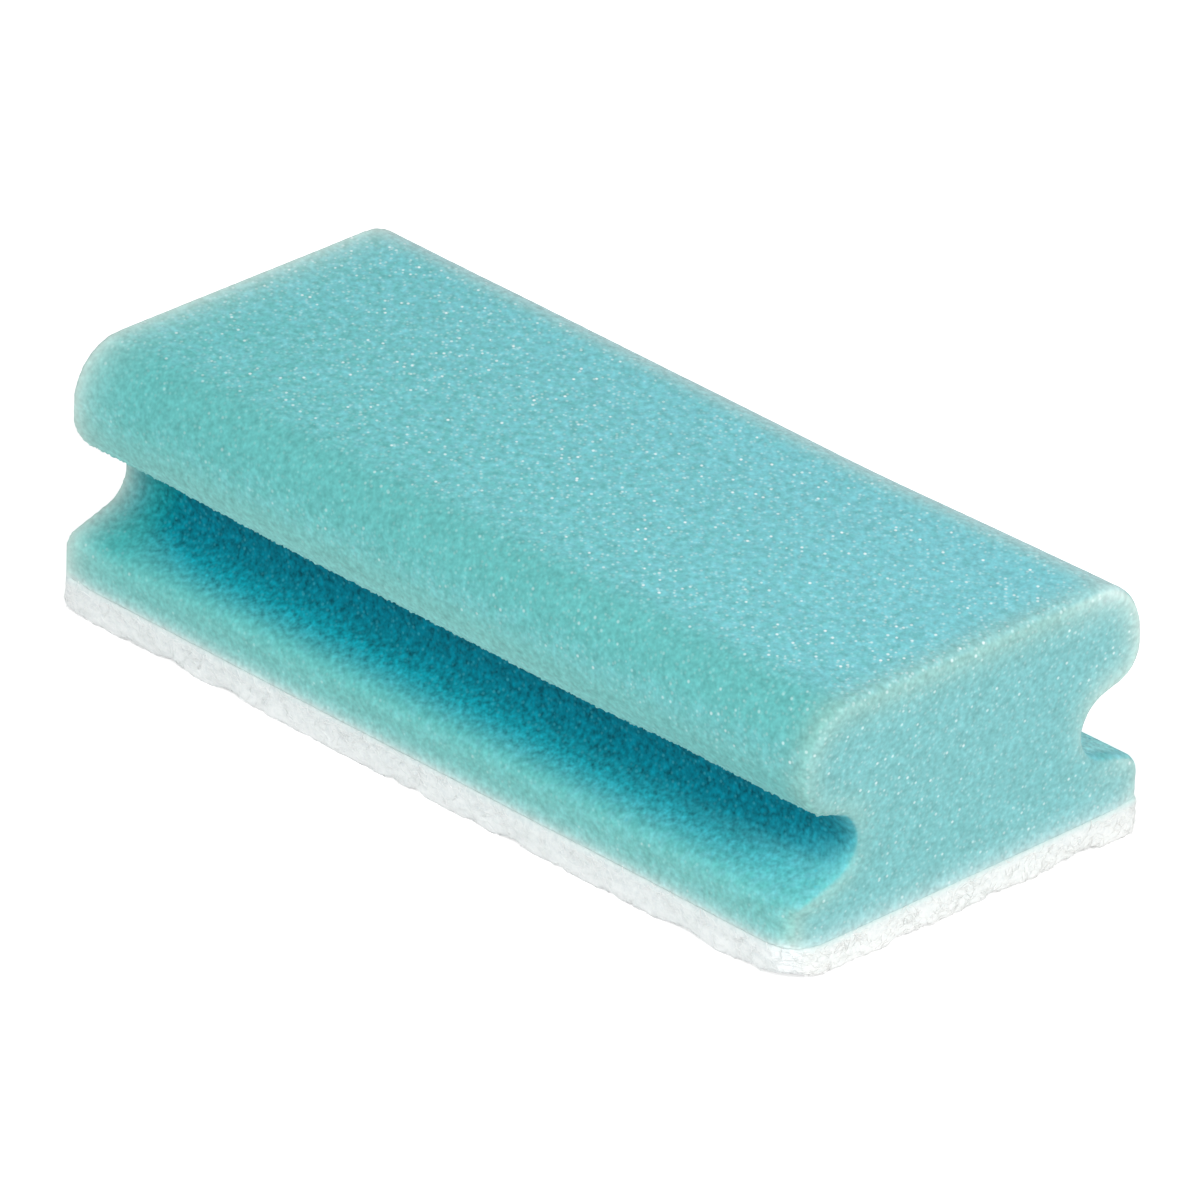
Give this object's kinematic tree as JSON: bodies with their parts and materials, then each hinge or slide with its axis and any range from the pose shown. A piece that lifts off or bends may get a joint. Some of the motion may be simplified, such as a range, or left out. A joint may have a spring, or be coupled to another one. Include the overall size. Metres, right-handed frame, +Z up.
{
  "type": "cleaning sponge",
  "caption": "Turquoise foam cleaning sponge with a rounded hand grip, a finger groove along each long side and a white non-woven scouring pad bonded underneath.",
  "frame": {"origin": "middle of the scouring pad's underside, on the surface that the sponge rests on", "axes": "+X along the finger grooves, +Y across them to the other long side, +Z up from the pad to the grip"},
  "size_m": [0.1508, 0.0698, 0.042],
  "materials": {
    "foam": "matte",
    "scouring_fibre": "matte"
  },
  "bodies": {
    "root": {"foam_body": "foam", "scouring_pad": "scouring_fibre"}
  },
  "joints": []
}
